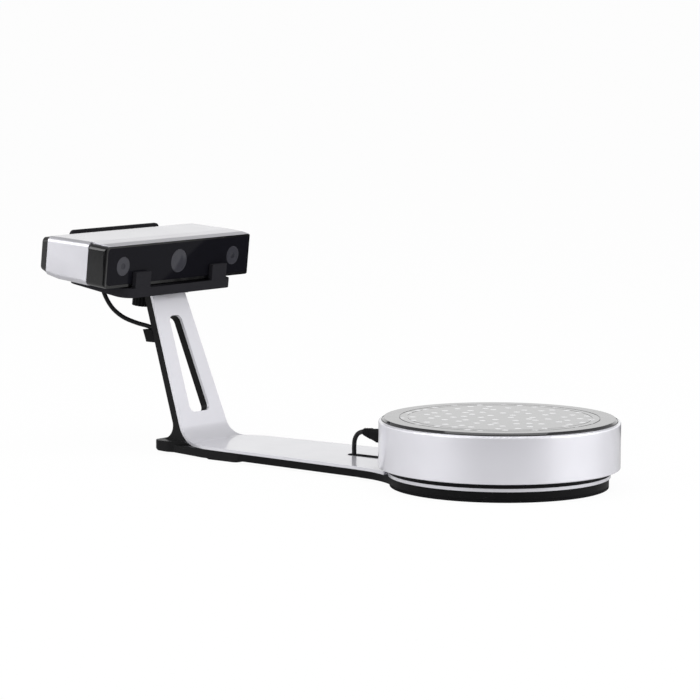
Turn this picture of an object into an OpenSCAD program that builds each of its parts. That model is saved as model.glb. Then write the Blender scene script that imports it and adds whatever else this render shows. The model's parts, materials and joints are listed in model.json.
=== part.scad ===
// Desktop 3-D scanner: a scanning head in a cradle on a leaning arm, joined
// by a flat strip to a motor-driven turntable.
// Millimetres, +Z up. The origin is on the platter's axis at desk level.
// The arm stands on the -X side and the head looks towards +X.

/* [Face plate] */
// Thickness of the bent silver sheet
plate_t = 2.8; // [2:0.2:4]
// Height of the strip's top face above the desk
plate_top = 12.4; // [10:0.2:18]
// How far the sheet's round end stays inside the drum's wall
sheet_inset = 8.4; // [6:0.2:14]
// Half width of the strip where it meets the round end
strip_half = 56; // [46:0.5:66]
// Narrowing of each edge of the strip, per mm towards the arm
strip_taper = 0.05; // [0:0.005:0.08]
// Radius of the neck between the strip and the round end
neck_r = 85; // [40:1:140]
// Inside radius of the bend at the arm's foot
bend_r = 20; // [12:1:30]

/* [Arm] */
// Distance from the platter's axis to the foot of the arm's front face
arm_x = 336.4; // [300:1:400]
// Backward lean of the arm from the vertical
arm_lean = 20.1; // [10:0.5:26]
// Half width of the arm at its foot
arm_half = 33.6; // [30:0.2:40]
// Narrowing of each edge of the arm, per mm upwards
arm_taper = 0.071; // [0.03:0.001:0.09]
// Thickness of the black core behind the sheet
core_t = 7.6; // [7:0.2:12]
// Distance from the arm's foot to the lower end of its slot
slot_low = 26.5; // [24:0.5:50]
// Distance from the arm's foot to the upper end of its slot
slot_high = 121; // [90:1:126]
// Half width of the slot at its lower end
slot_half = 14.5; // [10:0.5:15.5]
// Narrowing of each edge of the slot, per mm upwards
slot_taper = 0.064; // [0.03:0.001:0.08]
// Corner radius of the slot
slot_corner = 6; // [3:0.5:8]

/* [Base] */
// How far the black base under the round end stays inside the drum's wall
base_inset = 10; // [9:0.2:16]
// Height of the rubber ring that the round end stands on
foot_ring_h = 2.5; // [2:0.1:4]
// Height of the rubber strips under the arm's foot
foot_strip_h = 1.2; // [1:0.1:2]
// Distance from the platter's axis to the back end of the foot
foot_x = 366; // [356:1:440]
// Distance from the platter's axis to the front end of the foot
foot_front_x = 262; // [220:1:290]
// Half width of the foot behind the arm
foot_half = 46; // [40:0.5:50]
// Height of the foot behind the arm
foot_top = 13; // [11:0.5:18]

/* [Turntable] */
// Outer radius of the drum
drum_r = 107; // [104:0.5:116]
// Wall thickness of the drum
drum_wall = 2.5; // [2:0.1:3]
// Height of the drum's lower edge above the desk
drum_low = 17.1; // [16:0.1:20]
// Height of the drum's upper edge above the desk
drum_high = 58.7; // [56:0.5:70]
// Rounding of the drum's upper edge
drum_round = 2.2; // [1:0.1:2.4]
// Height of the platter's upper face above the drum's edge
platter_rise = 2.3; // [1.5:0.1:5]
// Radius of the dotted disc on the platter
disc_r = 88; // [70:1:94]
// Thickness of the dotted disc
disc_t = 1.2; // [0.8:0.1:2]
// Gap between the platter and the drum
platter_gap = 0.4; // [0.3:0.1:0.8]

/* [Drive] */
// Tooth size of the two gears, as pitch diameter per tooth
gear_module = 1.5; // [1.3:0.1:1.6]
// Teeth on the large gear
gear_teeth = 80; // [64:8:80]
// Teeth on the motor's pinion
pinion_teeth = 16; // [14:1:18]
// Width of the gears' teeth
gear_width = 6; // [4:0.5:7]
// Play between the teeth
gear_backlash = 0.3; // [0.2:0.05:0.4]
// Radius of the spindle
spindle_r = 6; // [4:0.5:6]
// Outer radius of the ball bearing
bearing_r = 14; // [13:0.5:16]
// Width of the ball bearing
bearing_w = 8; // [6:0.5:9]
// Side of the stepper motor's square body
motor_side = 42; // [35:1:42]
// Height of the stepper motor's body
motor_h = 20; // [16:0.5:21]

/* [Head] */
// Height of the centre of the head's front face above the desk
head_z = 178.2; // [172:0.5:230]
// Distance from the platter's axis to the head's front face
head_x = 372.1; // [360:1:420]
// Downward tilt of the head
head_pitch = 6; // [2:0.5:10]
// Width of the head
head_w = 210.4; // [200:0.5:240]
// Height of the black front face
face_h = 39.3; // [38:0.1:46]
// Depth of the black front cover
cover_d = 22; // [20:0.5:26]
// Depth of the head without its rear cover
shell_d = 73; // [72:0.5:84]
// Depth of the rear cover
rear_d = 9; // [6:0.5:12]
// Wall thickness of the head's covers
shell_wall = 2.2; // [1.6:0.1:2.6]
// Distance from the head's middle to each camera
camera_v = 79.1; // [74:0.5:84]
// Radius of each camera's window
camera_window_r = 9.07; // [8:0.05:10]
// Radius of the projector's window
projector_window_r = 11.27; // [10.5:0.05:13]
// Thickness of the front glass
glass_t = 2; // [1.5:0.1:3]

/* [Cradle] */
// Half width of the cradle's tray
tray_half = 77; // [72:0.5:84]
// Sheet thickness of the tray and its hooks
tray_t = 2.6; // [2:0.1:3]
// Height of the tray's rim
tray_rim = 8.8; // [7:0.1:10]
// Distance from the middle to the centre of each hook
hook_v = 55; // [50:0.5:60]
// Width of each hook
hook_w = 21; // [16:0.5:24]
// Height of each hook above the head's underside
hook_h = 14; // [8:0.5:16]
// Half width of the frame behind the head
frame_half = 63; // [60:0.5:70]
// Height of the frame above the head's middle
frame_top = 19.8; // [18:0.1:26]

/* [Thumb screw] */
// Radius of the thumb screw's knob
knob_r = 10; // [8:0.5:12]
// Height of the knob
knob_h = 14; // [10:0.5:16]
// Radius of the thumb screw's shank
shank_r = 3.1; // [2.5:0.1:4]

/* [Lead] */
// Radius of the lead from the head to the turntable
lead_r = 2.1; // [1.8:0.1:2.3]

/* [Hidden] */
$fn = 64;

fit = 0.05;             // radial clearance of a running fit
seat = 0.3;             // gap between pieces that move past each other
big = 300;              // larger than any outline that it cuts

// ---- the bent sheet and the arm ----
plate_r = drum_r - sheet_inset;              // the sheet's round end
base_r = drum_r - base_inset;                // the black base
sheet_low = plate_top - plate_t;
turn = 90 - arm_lean;                        // how far the sheet bends
bend_len = bend_r * tan(turn / 2);           // from the foot line to the end of the bend
bend_x = -arm_x + bend_len;
bend_z = plate_top + bend_r;
bend_end_x = -arm_x - bend_len * sin(arm_lean);
arm_back = plate_t + core_t;                 // from the arm's front face to its back

function strip_at(x) = strip_half + strip_taper * (x + plate_r);
function arm_at(s) = arm_half - arm_taper * s;
flare_len = 42;
flare = strip_at(bend_end_x) - arm_at(bend_len);
function flare_at(x) = let (d = max(0, min(1, (x - bend_end_x) / flare_len)))
    flare * (1 + cos(180 * d)) / 2;
function edge_at(x) = strip_at(x) - flare_at(x);

// a point of the arm's side view, s up the arm and depth back from its front face
function arm_point(s, depth) = [-arm_x - s * sin(arm_lean) - depth * cos(arm_lean),
    plate_top + s * cos(arm_lean) - depth * sin(arm_lean)];
// the bend's side view at radius r, from the strip up to the arm
function bend_arc(r) = [for (i = [0:20]) let (a = 270 - turn * i / 20)
    [bend_x + r * cos(a), bend_z + r * sin(a)]];
// side view of a layer between two depths, from x0 along the strip, round the bend and up to s1
function layer(x0, s1, near, far) = concat(
    [[x0, plate_top - far]], bend_arc(bend_r + far), [arm_point(s1, far), arm_point(s1, near)],
    [for (i = [20:-1:0]) bend_arc(bend_r + near)[i]], [[x0, plate_top - near]]);

// neck between the strip and the round end, for an outline drawn in by inset
function neck_y(inset) = strip_at(-plate_r) - inset + neck_r;
function neck_x(r, inset) = -sqrt(pow(r + neck_r, 2) - pow(neck_y(inset), 2));
function edge_points(r, inset, x0) =
    let (nx = neck_x(r, inset), ny = neck_y(inset), a1 = atan2(-ny, -nx), n = 14)
    concat([for (i = [0:n]) let (x = x0 + (nx - x0) * pow(i / n, 1.6)) [x, edge_at(x) - inset]],
        [for (i = [1:n]) let (a = -90 + (a1 + 90) * i / n, k = i < n ? 1 : 0.997)
            k * [nx + neck_r * cos(a), ny + neck_r * sin(a)]]);
function mirrored(points) = concat(points, [for (i = [len(points) - 1:-1:0]) [points[i].x, -points[i].y]]);

// ---- the head's own frame: x forward, y to its left, z up ----
head_top = face_h / 2 + 1.3;                 // upper face of the silver shell
head_low = -face_h / 2 - 0.5;                // underside of the silver shell
rear_u = -shell_d;                           // where the rear cover begins
back_u = -shell_d - rear_d;                  // the head's back face
tray_top = head_low - seat;                  // upper face of the tray's pads
pad_t = 0.8;
tray_face = tray_top - pad_t;                // upper face of the tray
tray_low = tray_face - tray_rim;             // lower edge of the tray's rim
tray_front = tray_t + seat + 2;              // front of the rim and of the hooks
tray_back = -72;                             // back of the rim
rim_rise = 3.4;                              // how much shallower the rim is at its back
frame_back = back_u - 0.5 - tray_t;            // back of the frame
screw_u = -41.6;                             // place of the thumb screw
gland_u = -53;                               // place where the lead leaves the head
gland_v = -46;

// ---- the turntable ----
floor_t = 3;
floor_top = drum_low + floor_t;
inner_r = drum_r - drum_wall;
platter_top = drum_high + platter_rise;
platter_t = 4;
platter_low = platter_top - platter_t;
platter_r = inner_r - platter_gap;
gear_r = gear_module * gear_teeth / 2;
pinion_r = gear_module * pinion_teeth / 2;
motor_turn = 27;                             // bearing of the motor seen from the spindle
motor_d = gear_r + pinion_r;
bracket_t = 2;
gear_low = floor_top + motor_h + bracket_t + 1.8;
bearing_low = floor_top + 6;
hub_r = bearing_r + 4;
board_z = floor_top + 5;
board_t = 1.6;
socket_h = 12;
socket_z = board_z + board_t + socket_h / 2; // height of the plug's axis

// ---- the lead, from the head's gland to the turntable's plug ----
lead_y = -21;                                // the lead's channel beside the arm's slot
lead_depth = plate_t + lead_r + 0.3;         // from the sheet's outer face to the lead
plug_x = -149;                               // where the lead ends in its plug
plug_z = 34.6;
slot_x = -162;                               // where the lead leaves the strip
LEAD = [[-427, -46, 162.9], [-427.7, -46, 156.5], [-427, -45, 147], [-421, -41, 134], [-412.5, -35, 125],
    [-402, -28, 119.6], [-391, -22.5, 116.4], [-384.5, -21, 113.5], [-379.5, -21, 108.5],
    [-375.5, -21, 102], [-371.5, -21, 93], [-361, -21, 65], [-352, -21, 40], [-346.2, -21, 24],
    [-344, -21, 19], [-339.5, -21, 13.6], [-333, -21, 9.6], [-327.5, -21, 7.7], [-320, -21, 7.2],
    [-300, -21, 7.2], [-270, -21, 7.2], [-240, -21, 7.2], [-210, -21, 7.2], [-192, -20, 7.2],
    [-178, -13, 7.2], [-170, -6, 7.2], [-164.8, -2.1, 7.2], [-163.4, -1, 7.7], [-162.4, -0.3, 8.9],
    [slot_x, 0, 10.7], [slot_x, 0, 14],
    [slot_x, 0, 21], [-161.2, 0, 27], [-158, 0, 32], [-153, 0, 34.4],
    [plug_x, 0, plug_z]];

// ==================== shared shapes ====================

module rounded_rect(w, h, r) {
    square([w - 2 * r, h], center = true);
    square([w, h - 2 * r], center = true);
    for (x = [-1, 1], y = [-1, 1])
        translate([x * (w / 2 - r), y * (h / 2 - r)]) circle(r);
}

// a head section: its outline runs from low to high
module section(w, low, high, r) {
    translate([0, (low + high) / 2]) rounded_rect(w, high - low, r);
}

module ring(outer, inner, h) {
    difference() {
        cylinder(r = outer, h = h);
        translate([0, 0, -1]) cylinder(r = inner, h = h + 2);
    }
}

// a side profile drawn in x and z, drawn out from y0 to y1
module along_y(y0, y1) {
    translate([0, y1, 0]) rotate([90, 0, 0]) linear_extrude(y1 - y0) children();
}

// an outline drawn in y and z, drawn out from x0 to x1
module along_x(x0, x1) {
    translate([x0, 0, 0]) rotate([90, 0, 90]) linear_extrude(x1 - x0) children();
}

// the arm's frame: z up the arm from its foot, x out of its front face
module on_arm() {
    translate([-arm_x, 0, plate_top]) rotate([0, -arm_lean, 0]) children();
}

// the head's frame
module on_head() {
    translate([-head_x, 0, head_z]) rotate([0, head_pitch, 0]) children();
}

// a round-headed screw whose head rests on z = 0 and whose shank goes up
module screw(shank, length, head, height) {
    cylinder(r = shank, h = length, $fn = 24);
    translate([0, 0, -height]) difference() {
        cylinder(r = head, h = height, $fn = 32);
        translate([0, 0, -1]) cylinder(r = head * 0.45, h = 1 + height * 0.5, $fn = 6);
    }
}

// ==================== base and arm ====================

// slab in the plan's outline: the round end and the strip back to x0
module plan_slab(r, inset, x0, low, h) {
    translate([0, 0, low]) {
        cylinder(r = r, h = h);
        linear_extrude(h) polygon(mirrored(edge_points(r, inset, x0)));
    }
}

module arm_outline(s0, s1, inset) {
    polygon([[-arm_at(s0) + inset, s0], [arm_at(s0) - inset, s0],
        [arm_at(s1) - inset, s1], [-arm_at(s1) + inset, s1]]);
}

module slot_outline(grow) {
    function half(s) = slot_half - slot_taper * (s - slot_low) - slot_corner;
    low = slot_low + slot_corner;
    high = slot_high - slot_corner;
    offset(r = slot_corner + grow, $fn = 40)
        polygon([[-half(low), low], [half(low), low], [half(high), high], [-half(high), high]]);
}

// everything above the tray's lower edge, in the head's frame
module above_tray(u0) {
    on_head() translate([u0, -big / 2, tray_low]) cube([big, big, big]);
}

foot_recess = 4.2;                           // depth of the recess for each foot screw's head
module at_foot_screws() {
    for (x = [14, 54], y = [-16, 16]) translate([-foot_front_x - x, y, 0]) children();
}

deck_screw_r = 78;
module at_deck_screws() {
    for (a = [45:90:315]) rotate(a) translate([deck_screw_r, 0, 0]) children();
}

// silver sheet: round end, strip, bend and arm in one piece
module face_plate() {
    slot_l = 40;
    lap = 0.3;
    color("gainsboro") {
        difference() {
            union() {
                translate([0, 0, sheet_low]) cylinder(r = plate_r, h = plate_t);
                intersection() {
                    along_y(-big / 2, big / 2) polygon(layer(-plate_r + 20, big, 0, plate_t));
                    linear_extrude(big) polygon(mirrored(edge_points(plate_r, 0, bend_end_x - 8)));
                    on_arm() translate([-big, -big, -big]) cube([2 * big, 2 * big, big + bend_len + lap]);
                }
            }
            translate([slot_x + slot_l / 2 - 5, 0, sheet_low - 1])
                linear_extrude(plate_t + 2) rounded_rect(slot_l, 7.4, 3.6);
            translate([0, 0, sheet_low - 1]) cylinder(r = 12, h = plate_t + 2);
            at_deck_screws() translate([0, 0, sheet_low - 1]) cylinder(r = 2.2, h = plate_t + 2, $fn = 24);
            at_foot_screws() translate([0, 0, sheet_low - 1]) cylinder(r = 1.9, h = 2.7, $fn = 24);
        }
        difference() {
            intersection() {
                along_y(-big / 2, big / 2) polygon(layer(-plate_r + 20, big, 0, plate_t));
                on_arm() along_x(-20, 20) difference() {
                    arm_outline(bend_len - lap, big, 0);
                    slot_outline(0);
                }
            }
            above_tray(-big);
        }
    }
}

// side profile of the arm's core and of the foot under it
core_fillet = 12;
module core_profile(s1) {
    back_s = (foot_top - plate_top + arm_back * sin(arm_lean)) / cos(arm_lean);
    fillet_len = core_fillet / tan(turn / 2);
    corner = arm_point(back_s, arm_back);
    polygon(concat(
        [[-foot_x + 7, 3.4], [-foot_x + 60, foot_strip_h], [-foot_front_x, foot_strip_h],
            [-foot_front_x, sheet_low]],
        bend_arc(bend_r + plate_t),
        [arm_point(s1, plate_t), arm_point(s1, arm_back), corner, [-foot_x, foot_top], [-foot_x, 6]]));
    difference() {
        polygon([corner, arm_point(back_s + fillet_len, arm_back), corner - [fillet_len, 0]]);
        translate(corner + [-fillet_len, core_fillet]) circle(core_fillet);
    }
}

// groove for the lead, from the arm's back down into the strip
module lead_groove() {
    half = lead_r + 0.3;
    entry_s = 90;
    translate([0, lead_y, 0]) {
        along_y(-half, half) polygon(layer(slot_x, entry_s + 16, lead_depth - half - 1, lead_depth + half));
        on_arm() translate([-arm_back - 1, -half, entry_s]) cube([arm_back - plate_t - 1, 2 * half, 26]);
    }
    translate([slot_x - 36, lead_y - half, plate_top - lead_depth - half])
        cube([44, half + 4 - lead_y, big]);
}

// black core of the arm with its foot, in one piece
module arm_core() {
    top_s = 200;
    color("#1c1c1f") difference() {
        union() {
            intersection() {
                along_y(-big / 2, big / 2) core_profile(top_s);
                union() {
                    linear_extrude(sheet_low) polygon(mirrored([for (x = [-foot_x + 14, -foot_front_x])
                        [x, min(foot_half, strip_at(x) - 0.8)]]));
                    linear_extrude(foot_top) offset(r = 8) polygon(mirrored([[-foot_x + 8, foot_half - 8],
                        [-foot_x + 16, foot_half - 8], [-foot_x + 36, foot_half - 20]]));
                }
            }
            intersection() {
                along_y(-big / 2, big / 2) core_profile(top_s);
                on_arm() along_x(-big, big) arm_outline(-20, big, 0.4);
            }
            // flange under the tray
            on_head() translate([-33, -26, tray_low]) cube([31.5, 52, tray_rim - tray_t]);
        }
        on_arm() along_x(-big, big) slot_outline(0);
        on_head() translate([-big, -big / 2, tray_face - tray_t]) cube([2 * big, big, big]);
        on_head() translate([-big / 2 - 33, -big / 2, tray_low]) cube([big / 2, big, big]);
        lead_groove();
        at_cradle_screws() translate([0, 0, -20]) cylinder(r = 2.1, h = 40, $fn = 24);
        at_foot_screws() {
            cylinder(r = 1.9, h = plate_top, $fn = 24);
            cylinder(r = 3.6, h = foot_recess, $fn = 32);
        }
    }
}

module foot_screws() {
    color("dimgray") at_foot_screws()
        translate([0, 0, foot_recess]) screw(1.85, sheet_low - foot_recess + 1.6, 3.4, 2.2);
}

// black base under the strip and the round end
module base_core() {
    color("#1c1c1f") difference() {
        plan_slab(base_r, 1.2, -foot_front_x + seat / 3, foot_ring_h, sheet_low - foot_ring_h);
        lead_groove();
        translate([0, 0, -1]) cylinder(r = 12, h = big);
        at_deck_screws() {
            cylinder(r = 2.1, h = big, $fn = 24);
            cylinder(r = 4.6, h = foot_ring_h + 2.6, $fn = 32);
        }
    }
}

module foot_ring() {
    color("#111111") ring(base_r, base_r - 10, foot_ring_h);
}

module centre_pad() {
    color("#111111") {
        cylinder(r = 20, h = foot_ring_h);
        cylinder(r = 11.7, h = sheet_low - 0.5);
    }
}

module foot_strips() {
    color("#111111") for (y = [-1, 1])
        translate([-foot_front_x - 23, y * 36, 0]) linear_extrude(foot_strip_h) rounded_rect(38, 14, 5);
}

module deck_screws() {
    color("dimgray") at_deck_screws()
        translate([0, 0, foot_ring_h + 2.6]) screw(2, floor_top - foot_ring_h - 3.6, 4.2, 2.2);
}

// ==================== turntable ====================

// black floor of the drum with the bearing's housing and the board's posts
board_x = 31.5 - inner_r;                    // by the wall that the plug goes through
module floor_posts(h) {
    for (x = [-25, 25], y = [-17, 17]) translate([board_x + x, y, 0]) cylinder(r = 3, h = h, $fn = 32);
}

module drum_floor() {
    color("#1c1c1f") difference() {
        union() {
            translate([0, 0, plate_top]) cylinder(r = base_r + 1.2, h = drum_low - plate_top, $fn = 128);
            translate([0, 0, drum_low + 1.5]) cylinder(r = inner_r - fit, h = floor_t - 1.5, $fn = 128);
            translate([0, 0, drum_low]) cylinder(r = base_r - 3, h = floor_t, $fn = 128);
            cylinder_hub(hub_r, bearing_low + bearing_w + 1);
            translate([0, 0, floor_top]) floor_posts(board_z - floor_top);
        }
        translate([0, 0, bearing_low]) cylinder(r = bearing_r + fit, h = big);
        translate([0, 0, floor_top]) cylinder(r = spindle_r + 4, h = big);
        at_deck_screws() cylinder(r = 2.05, h = floor_top - 1, $fn = 24);
        at_drum_screws() cylinder(r = 1.55, h = big, $fn = 24);
        at_motor() bracket_feet() translate([0, 0, -1.2]) cylinder(r = 1.6, h = 2, $fn = 24);
    }
}

module cylinder_hub(r, top) {
    translate([0, 0, drum_low]) cylinder(r = r, h = top - drum_low);
}

module at_drum_screws() {
    for (a = [15:60:315]) rotate(a) translate([inner_r - 4, 0, drum_low]) children();
}

module drum_screws() {
    color("dimgray") at_drum_screws() translate([0, 0, 0.9]) screw(1.5, floor_t - 0.9, 2.6, 0.8);
}

// silver wall of the drum
module drum_shell() {
    lip = 1.5;
    color("silver") difference() {
        rotate_extrude($fn = 128) {
            translate([inner_r, drum_low + 1]) square([drum_wall - 1, drum_high - drum_low - 1 - drum_round]);
            translate([inner_r, drum_low]) square([drum_wall - 1, 2]);
            translate([drum_r - 1, drum_low + 1]) circle(1);
            translate([drum_r - 1.5, drum_low + 1]) square([1.5, drum_high - drum_low - 1 - drum_round]);
            intersection() {
                translate([drum_r - drum_round, drum_high - drum_round]) circle(drum_round);
                translate([inner_r, drum_high - drum_round]) square([drum_wall, drum_round]);
            }
            translate([inner_r, drum_high - drum_round - 0.5])
                square([drum_wall - drum_round, drum_round + 0.5]);
            translate([base_r + 1.5, drum_low]) square([inner_r - base_r - 1, lip]);
        }
        translate([-drum_r, 0, socket_z]) cube([30, 13.6, 13.6], center = true);
        at_drum_screws() translate([0, 0, -1]) {
            cylinder(r = 1.6, h = 4, $fn = 24);
            cylinder(r = 2.8, h = 1.95, $fn = 24);
        }
    }
}

// black platter: a dish with ribs under it and a recess for the dotted disc
module platter() {
    rim_h = 8;
    color("#19191b") {
        rotate_extrude($fn = 128) polygon([[spindle_r + fit, platter_low],
            [platter_r - 3, platter_low], [platter_r - 3, platter_top - rim_h],
            [platter_r, platter_top - rim_h], [platter_r, platter_top - 1.6],
            [platter_r - 1.8, platter_top], [disc_r + 1.2, platter_top],
            [disc_r + 0.5, platter_top - 0.8], [disc_r + fit, platter_top - disc_t],
            [spindle_r + fit, platter_top - disc_t]]);
        for (a = [0:30:330]) rotate(a)
            translate([gear_r + 4, -1, platter_low - 3]) cube([platter_r - 6 - gear_r, 2, 3.5]);
    }
}

module marker_disc() {
    color("#232326") translate([0, 0, platter_top - disc_t]) difference() {
        cylinder(r = disc_r, h = disc_t, $fn = 128);
        translate([0, 0, disc_t - 0.3]) ring(disc_r - 6, disc_r - 6.8, 1);
    }
}

// ---- gears: each flank is a true involute ----
function spread(a) = tan(a) * 180 / PI - a;
pressure = 20;
function tooth_half(teeth, rb, r) =
    90 / teeth - gear_backlash / 2 / (gear_module * teeth / 2) * 90 / PI
    + spread(pressure) - spread(acos(min(1, rb / r)));
function polar(r, a) = [r * cos(a), r * sin(a)];
function gear_points(teeth, steps) =
    let (rp = gear_module * teeth / 2, rb = rp * cos(pressure),
        root = rp - 1.25 * gear_module, low = max(root, rb), tip = rp + gear_module)
    [for (i = [0:teeth - 1], side = [-1, 1], k = [0:steps + 1])
        let (j = side < 0 ? k : steps + 1 - k, r = j == 0 ? root : low + (tip - low) * (j - 1) / steps)
        polar(r, 360 * i / teeth + side * tooth_half(teeth, rb, max(r, low)))];

module drive_gear() {
    boss = 16;
    color("ivory") translate([0, 0, gear_low]) difference() {
        union() {
            linear_extrude(gear_width) polygon(gear_points(gear_teeth, 1));
            cylinder(r = boss, h = platter_low - gear_low);
        }
        translate([0, 0, 3]) ring(gear_r - 6, boss + 1, big);
        for (a = [30:60:330]) rotate(a) translate([(gear_r + boss) / 2 - 2, 0, -1]) cylinder(r = 10, h = big);
        translate([0, 0, -1]) cylinder(r = spindle_r + fit, h = big);
        at_gear_screws() translate([0, 0, -1]) cylinder(r = 1.6, h = big, $fn = 24);
    }
}

module at_gear_screws() {
    for (a = [0:120:240]) rotate(a) translate([11.5, 0, 0]) children();
}

module gear_screws() {
    color("dimgray") at_gear_screws() translate([0, 0, gear_low])
        screw(1.5, platter_low - gear_low, 2.8, 1.6);
}

module spindle() {
    color("lightsteelblue") {
        translate([0, 0, bearing_low - 3]) cylinder(r = spindle_r, h = platter_top - disc_t - bearing_low + 3);
        translate([0, 0, bearing_low + bearing_w]) cylinder(r = spindle_r + 2, h = gear_low - bearing_low - bearing_w);
    }
}

module spindle_clip() {
    color("gray") translate([0, 0, bearing_low - 1.3]) ring(spindle_r + 2.6, spindle_r + fit, 1.2);
}

race_gap = (bearing_r - spindle_r) * 0.24;
ball_r = (bearing_r - spindle_r) / 2 - race_gap;
module bearing_inner() {
    color("silver") translate([0, 0, bearing_low]) ring(spindle_r + race_gap - fit, spindle_r + fit, bearing_w);
}

module bearing_outer() {
    color("silver") translate([0, 0, bearing_low]) ring(bearing_r, bearing_r - race_gap + fit, bearing_w);
}

module bearing_balls() {
    count = 10;
    color("white") for (i = [0:count - 1]) rotate(360 * i / count)
        translate([(bearing_r + spindle_r) / 2, 0, bearing_low + bearing_w / 2]) sphere(r = ball_r, $fn = 32);
}

module at_motor() {
    rotate(motor_turn) translate([motor_d, 0, floor_top]) children();
}

motor_boss = 11;
shaft_r = 2.5;
module stepper_motor() {
    color("#3a3b3f") at_motor() difference() {
        union() {
            linear_extrude(motor_h) rounded_rect(motor_side, motor_side, 4);
            cylinder(r = motor_boss, h = motor_h + bracket_t);
        }
        translate([0, 0, motor_h - 10]) cylinder(r = shaft_r + fit, h = big);
    }
}

module motor_shaft() {
    color("silver") at_motor() translate([0, 0, motor_h - 9.8])
        cylinder(r = shaft_r, h = gear_low + gear_width + 1 - floor_top - motor_h + 9.8);
}

module pinion() {
    color("goldenrod") at_motor() translate([0, 0, gear_low - floor_top]) rotate(180 + 180 / pinion_teeth)
        difference() {
            linear_extrude(gear_width) polygon(gear_points(pinion_teeth, 2));
            translate([0, 0, -1]) cylinder(r = shaft_r + 0.02, h = big);
        }
}

bracket_leg = 3;
module bracket_feet() {
    for (y = [-1, 1]) translate([0, y * (motor_side / 2 + bracket_leg + 4.5), 0]) children();
}

module motor_bracket() {
    width = 30;
    color("slategray") at_motor() difference() {
        union() {
            translate([-width / 2, -motor_side / 2 - bracket_leg, motor_h])
                cube([width, motor_side + 2 * bracket_leg, bracket_t]);
            for (y = [-1, 1]) translate([-width / 2, y * (motor_side / 2 + bracket_leg / 2) - bracket_leg / 2
                + y * 0.1, 0]) cube([width, bracket_leg - 0.2, motor_h + 1]);
            bracket_feet() translate([-5, -4.6, 0]) cube([10, 9.2, 2.5]);
        }
        cylinder(r = motor_boss + fit, h = big);
        bracket_feet() cylinder(r = 1.6, h = big, $fn = 24);
    }
}

module bracket_screws() {
    color("dimgray") at_motor() bracket_feet() translate([0, 0, 2.5]) mirror([0, 0, 1]) screw(1.5, 3.5, 2.8, 1.6);
}

module turntable_board() {
    color("seagreen") translate([board_x, 0, board_z]) {
        translate([-28, -22, 0]) cube([58, 44, board_t]);
        translate([-8, -14, board_t]) cube([10, 10, 1.4]);
        translate([8, -16, board_t]) cube([6, 14, 6]);
        translate([-8, 6, board_t]) cube([16, 9, 2]);
        for (y = [4, 14]) translate([20, y - 2, board_t]) cylinder(r = 4, h = 9, $fn = 32);
    }
}

plug_nose = 8;
module lead_socket() {
    color("#26262a") difference() {
        translate([-inner_r + 1.2, -7, board_z + board_t]) cube([13, 14, socket_h]);
        translate([-inner_r, 0, socket_z]) cube([18, plug_nose + 0.3, plug_nose + 0.3], center = true);
    }
}

// ==================== lead ====================

// a smooth curve through the chosen points
function curve(p, i, t) = let (a = p[max(i - 1, 0)], b = p[i], c = p[i + 1], d = p[min(i + 2, len(p) - 1)])
    0.5 * (2 * b + (c - a) * t + (2 * a - 5 * b + 4 * c - d) * t * t + (3 * b - a - 3 * c + d) * t * t * t);
function route(p, steps) = concat([for (i = [0:len(p) - 2], k = [0:steps - 1]) curve(p, i, k / steps)],
    [p[len(p) - 1]]);
function unit(v) = v / norm(v);
function along(p, i) = unit(p[min(i + 1, len(p) - 1)] - p[max(i - 1, 0)]);

// sides of each ring are carried along the route without twisting
function frames(p, i, u) = i == len(p) ? [] :
    let (t = along(p, i), v = unit(u - (u * t) * t)) concat([v], frames(p, i + 1, v));

module tube(p, r, sides) {
    u = frames(p, 0, [0, 1, 0.01]);
    n = len(p);
    points = [for (i = [0:n - 1], k = [0:sides - 1]) let (a = 360 * k / sides, w = cross(along(p, i), u[i]))
        p[i] + r * (cos(a) * u[i] + sin(a) * w)];
    walls = [for (i = [0:n - 2], k = [0:sides - 1])
        let (a = i * sides + k, b = i * sides + (k + 1) % sides) [a, a + sides, b + sides, b]];
    triangles = [for (f = walls) each [[f[0], f[1], f[2]], [f[0], f[2], f[3]]]];
    first = [for (k = [0:sides - 1]) k];
    last = [for (k = [sides - 1:-1:0]) (n - 1) * sides + k];
    polyhedron(points = points, faces = concat(triangles, [first, last]));
}

module lead() {
    color("#141416") tube(route(LEAD, 3), lead_r, 10);
}

// moulded plug: a thin sleeve on the lead that widens to the plug's body
plug_back = 27;                              // from the drum's wall to the back of the plug's body
module lead_plug() {
    color("#161618") difference() {
        union() {
            hull() {
                translate([plug_x - 2, 0, plug_z]) rotate([0, 90, 0]) cylinder(r = lead_r + 0.9, h = 1, $fn = 32);
                translate([-drum_r - plug_back - 1, 0, socket_z]) rotate([90, 0, 90])
                    linear_extrude(0.5) rounded_rect(9, 11.6, 2);
            }
            translate([-drum_r - plug_back - 0.6, 0, socket_z]) rotate([90, 0, 90])
                linear_extrude(plug_back + 4) rounded_rect(10, 12.4, 2.4);
            translate([-inner_r - 5, -plug_nose / 2, socket_z - plug_nose / 2])
                cube([5 + 7, plug_nose, plug_nose]);
        }
        translate([plug_x - 10, 0, plug_z]) rotate([0, 90, 0]) cylinder(r = lead_r + 0.3, h = 10.05, $fn = 32);
    }
}

module slot_grommet() {
    color("#111111") translate([slot_x + 15, 0, 0]) difference() {
        union() {
            translate([0, 0, sheet_low + 0.1]) linear_extrude(plate_t) rounded_rect(39.8, 7.2, 3.5);
            translate([0, 0, plate_top]) linear_extrude(0.5) rounded_rect(42, 9.4, 4.6);
        }
        translate([-15, 0, 0]) cylinder(r = lead_r + 0.5, h = big);
        translate([4, 0, 0]) linear_extrude(big) rounded_rect(28, 3, 1.4);
    }
}

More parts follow.
